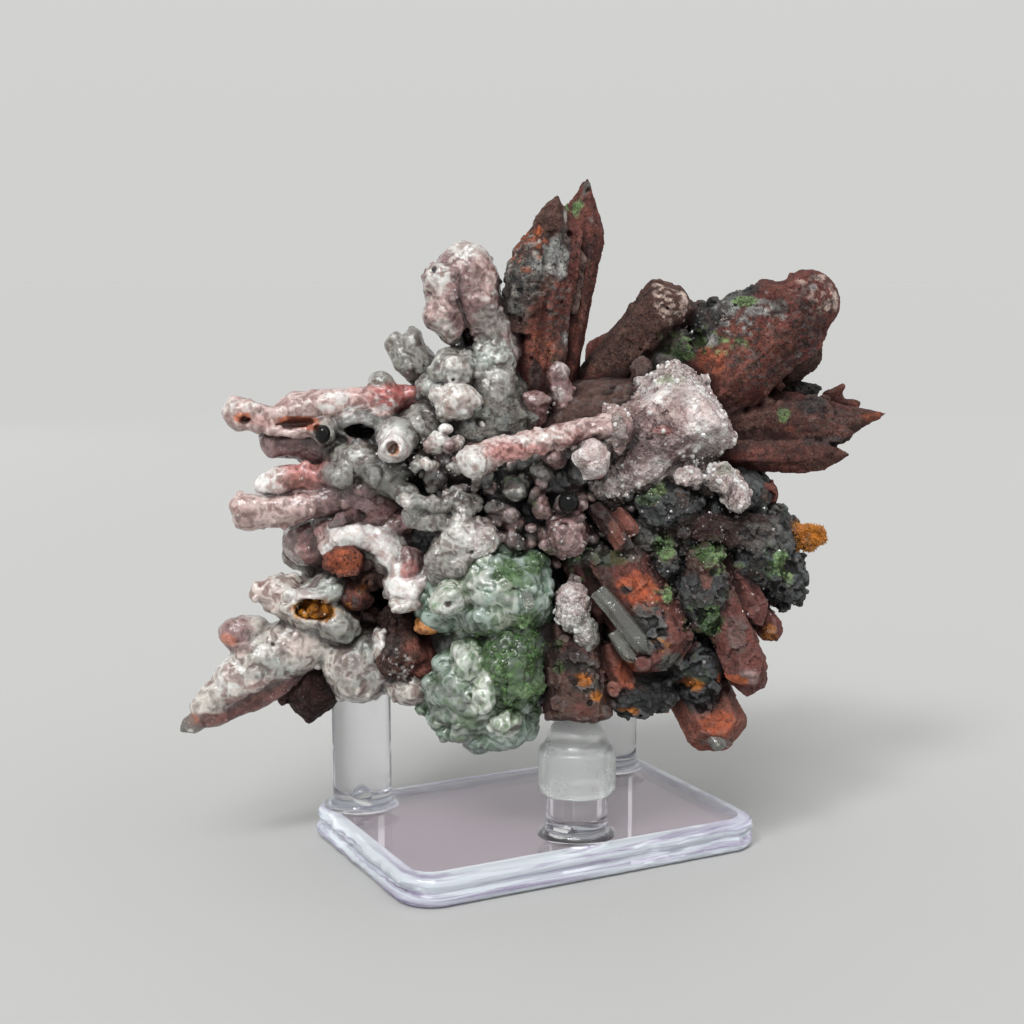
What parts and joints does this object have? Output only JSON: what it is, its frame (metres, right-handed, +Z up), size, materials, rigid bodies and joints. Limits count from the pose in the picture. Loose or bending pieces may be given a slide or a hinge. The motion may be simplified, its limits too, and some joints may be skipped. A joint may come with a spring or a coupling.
{
  "type": "quartz cluster on display stand",
  "caption": "Iron-stained, partly coated quartz crystals grown together with green crust, resting on the pegs of a clear rectangular display stand.",
  "frame": {"origin": "centre of the base plate's underside", "axes": "+Z up, X along the plate's long side, -Y towards the front peg; the specimen is turned 27 degrees clockwise on it"},
  "size_m": [0.138, 0.092, 0.14],
  "materials": {
    "quartz": "rough iron-stained and chalcedony-coated crystal, with white druse and green malachite crust",
    "clear_acrylic": "polished, clear",
    "soft_tip": "translucent, slightly frosted"
  },
  "bodies": {
    "root": {"quartz_cluster": "quartz", "base_plate": "clear_acrylic", "peg_back_left": "clear_acrylic", "peg_back_right": "clear_acrylic", "peg_front": "clear_acrylic", "peg_cap": "soft_tip"}
  },
  "joints": []
}
